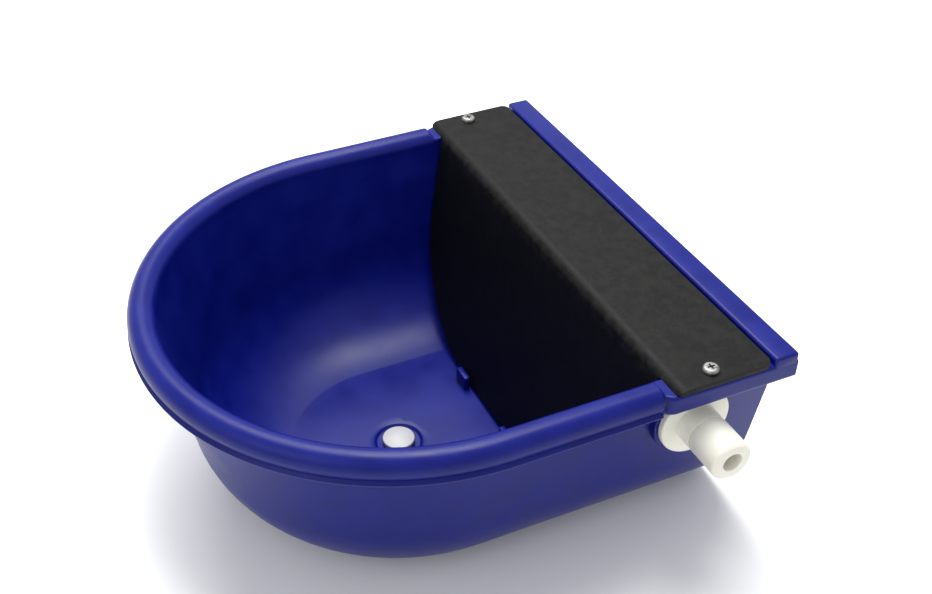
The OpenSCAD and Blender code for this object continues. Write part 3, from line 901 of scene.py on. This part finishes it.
def makePlug():
    # A domed head with a soft edge, on a stem whose foot is hollowed
    shape = plugShape
    head = plugHigh.x
    crown = shape["crown"]
    edgeZ = plugHigh.z - crown
    seatZ = edgeZ - shape["headEdge"]
    boreZ = plugLow.z + shape["boreDepth"]
    domeRadius = (head**2 + crown**2) / (2 * crown)
    turn = np.linspace(np.arcsin((head - 0.8 * mm) / domeRadius), 0, 16)
    dome = np.column_stack([domeRadius * np.sin(turn), plugHigh.z - domeRadius * (1 - np.cos(turn))])
    dome[-1, 0] = 0
    side = rounded([
        (0, boreZ),
        (shape["bore"] - 0.2 * mm, boreZ, 0.4 * mm),
        (shape["bore"], plugLow.z, 0.3 * mm),
        (shape["stem"], plugLow.z, 0.4 * mm),
        (shape["stem"], seatZ),
        (head, seatZ, 0.5 * mm),
        (head, edgeZ + 0.15 * mm, 0.7 * mm),
        tuple(dome[0]),
    ], 6)
    plug = lathe("drain_stopper", np.concatenate([side[:-1], dome]), (0, drainY), "Z", 96)
    smooth(plug, 40)
    finishPiece(plug, "plug", finishes["plug_plastic"], "plug_plastic", "drain_plug")
    return plug


makePlug()

nutShape = {
    "shank": 10.53 * mm,
    "wall": 2.5 * mm,
    "flange": 3.4 * mm,
    "flangeWidth": 8 * mm,
}


def makeNut():
    # A flange and a hexagon, made to be one nut. The hexagon's corner at flats - 0.6 mm lies on a straight
    # line, so its arc has no size and its points aren't numbers. The union then fails, and only the flange
    # is left in the finished piece. This is an open fault
    shape = nutShape
    shank = shape["shank"]
    flats = shank + shape["wall"]
    flange = shank + shape["flangeWidth"] - 0.05 * mm
    start = nutLow.x
    end = nutHigh.x
    shoulder = start + shape["flange"]
    crest = flats / cos(pi / 6)
    centre = (inletY, inletZ)

    def hexagon(angle):
        # Distance to the nearest flat's line at an angle
        turned = (angle + pi / 6) % (pi / 3) - pi / 6
        return flats / np.cos(turned)

    body = rounded([
        (shank, shoulder - over),
        (crest, shoulder - over),
        (crest, end, 0.8 * mm),
        (flats - 0.6 * mm, end, 0.2 * mm),
        (shank, end, 0.3 * mm),
        (shank, shoulder - over),
    ], 6)
    hexPiece = lathe("hex", body, centre, "X", 360, hexagon)
    ring = rounded([
        (shank, start),
        (flange, start, 0.4 * mm),
        (flange, shoulder, 1.1 * mm),
        (shank, shoulder),
        (shank, start),
    ], 8)
    flangePiece = lathe("flange", ring, centre, "X", 128)
    nut = carve(flangePiece, [hexPiece])
    nut.name = "flanged_nut"
    smooth(nut)
    finishPiece(nut, "trough", finishes["fitting_plastic"], "fitting_plastic", "inlet_nut")
    return nut


makeNut()
print("screws, plug and nut made")

# ---- other CAD nodes, with softened edges

# each node's slot, and the width in millimetres that its edges are rounded by
softened = {
    "valve_body": ("fitting_plastic", 0.5),
    "valve_cap": ("fitting_plastic", 0.4),
    "valve_seat": ("seat_brass", 0.2),
    "plunger": ("lever_plastic", 0.3),
    "seat_pad": ("rubber", 0.3),
    "inlet_gasket": ("rubber", 0.3),
    "drain_seal": ("rubber", 0.25),
    "float_lever": ("lever_plastic", 0.4),
    "pivot_pin": ("screw_steel", 0.2),
    "pin_clip": ("screw_steel", 0.15),
    "float_shell": ("float_plastic", 0.8),
    "float_lid": ("float_plastic", 0.6),
    "float_screw": ("screw_steel", 0.2),
}


def soften(node, slot, width):
    # A welded copy of a CAD node, its flat faces whole again and its edges rounded
    source = nodes[node]
    piece = bpy.data.objects.new(node + "_part", source.data.copy())
    bpy.context.scene.collection.objects.link(piece)
    work = bmesh.new()
    work.from_mesh(piece.data)
    bmesh.ops.remove_doubles(work, verts=work.verts, dist=weldGap)
    bmesh.ops.dissolve_limit(work, angle_limit=radians(1), verts=work.verts, edges=work.edges)
    work.to_mesh(piece.data)
    work.free()
    bevel(piece, width * mm, 2, 35)
    freeze(piece)
    smooth(piece, 35)
    finishPiece(piece, source["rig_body"], finishes[slot], slot, node)


for node, (slot, width) in softened.items():
    soften(node, slot, width)
print("softened", len(softened), "CAD nodes")

# ---- camera, floor and light

cameraSet = {
    "azimuth": 67.9975,
    "elevation": 38.9243,
    "roll": -1.6443,
    "distance": 0.6267,
    "target": (0, -0.140, -0.024),
    "sensor": 36,
    "lens": 46.0462,
    "shift": (0.0649, 0.0376),
}


def addCamera():
    # A camera on a sphere round its target, turned by the roll
    a, e, r = (radians(cameraSet[k]) for k in ("azimuth", "elevation", "roll"))
    back = Vector((sin(a) * cos(e), -cos(a) * cos(e), sin(e)))
    right = Vector((cos(a), sin(a), 0))
    up = back.cross(right)
    right, up = right * cos(r) + up * sin(r), up * cos(r) - right * sin(r)
    data = bpy.data.cameras.new("camera")
    data.sensor_width = cameraSet["sensor"]
    data.lens = cameraSet["lens"]
    data.shift_x, data.shift_y = cameraSet["shift"]
    data.clip_start = 0.01
    camera = bpy.data.objects.new("camera", data)
    place = Vector(cameraSet["target"]) + back * cameraSet["distance"]
    camera.matrix_world = Matrix.Translation(place) @ Matrix((right, up, back)).transposed().to_4x4()
    bpy.context.scene.collection.objects.link(camera)
    bpy.context.scene.camera = camera


floorSet = {"reach": 6.0, "gap": 0.2 * mm}


def addFloor():
    # A wide pale floor, a hair under the base
    corners = np.array([(-1, -1), (1, -1), (1, 1), (-1, 1)]) * floorSet["reach"]
    height = np.full(4, baseZ - floorSet["gap"])
    floor = makeObject("floor", np.column_stack([corners, height]), [[0, 1, 2, 3]])
    shader = Shader("paleFloor", Roughness=0.9, Specular_IOR_Level=0.1)
    shade = shader.spread(shader.noise(3, 2), 0.3, 0.7)
    tone = shader.blend(shade, colour(0.86, 0.86, 0.86), colour(0.9, 0.9, 0.9))
    floor.data.materials.append(shader.finish(Base_Color=tone))
    floor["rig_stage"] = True


lampAim = (0, -0.14, -0.05)
lights = {
    "overhead": {"place": (-0.7, -0.1, 1.25), "size": 0.9, "power": 17},
    "top": {"place": (-0.12, 0.05, 1.3), "size": 0.6, "power": 14},
    "front": {"place": (0.5, -1.3, 0.8), "size": 0.9, "power": 3},
}
sky = {"colour": colour(0.97, 0.98, 1.0), "strength": 0.78}


def addLights():
    # Soft square lamps that all aim at the bowl, and an even pale sky
    for name, lamp in lights.items():
        data = bpy.data.lights.new(name, "AREA")
        data.shape = "SQUARE"
        data.size = lamp["size"]
        data.energy = lamp["power"]
        holder = bpy.data.objects.new(name, data)
        holder.location = lamp["place"]
        aim = Vector(lampAim) - Vector(lamp["place"])
        holder.rotation_euler = aim.to_track_quat("-Z", "Y").to_euler()
        bpy.context.scene.collection.objects.link(holder)
    world = bpy.data.worlds.new("studio")
    world.use_nodes = True
    background = world.node_tree.nodes["Background"]
    background.inputs["Color"].default_value = sky["colour"]
    background.inputs["Strength"].default_value = sky["strength"]
    bpy.context.scene.world = world
    bpy.context.scene.view_settings.view_transform = "Standard"


addCamera()
addFloor()
addLights()
print("camera, floor and lights set")

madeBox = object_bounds()
for label, box in (("CAD box", cadBox), ("visual box", madeBox)):
    print(label, [tuple(round(v, 4) for v in corner) for corner in box])
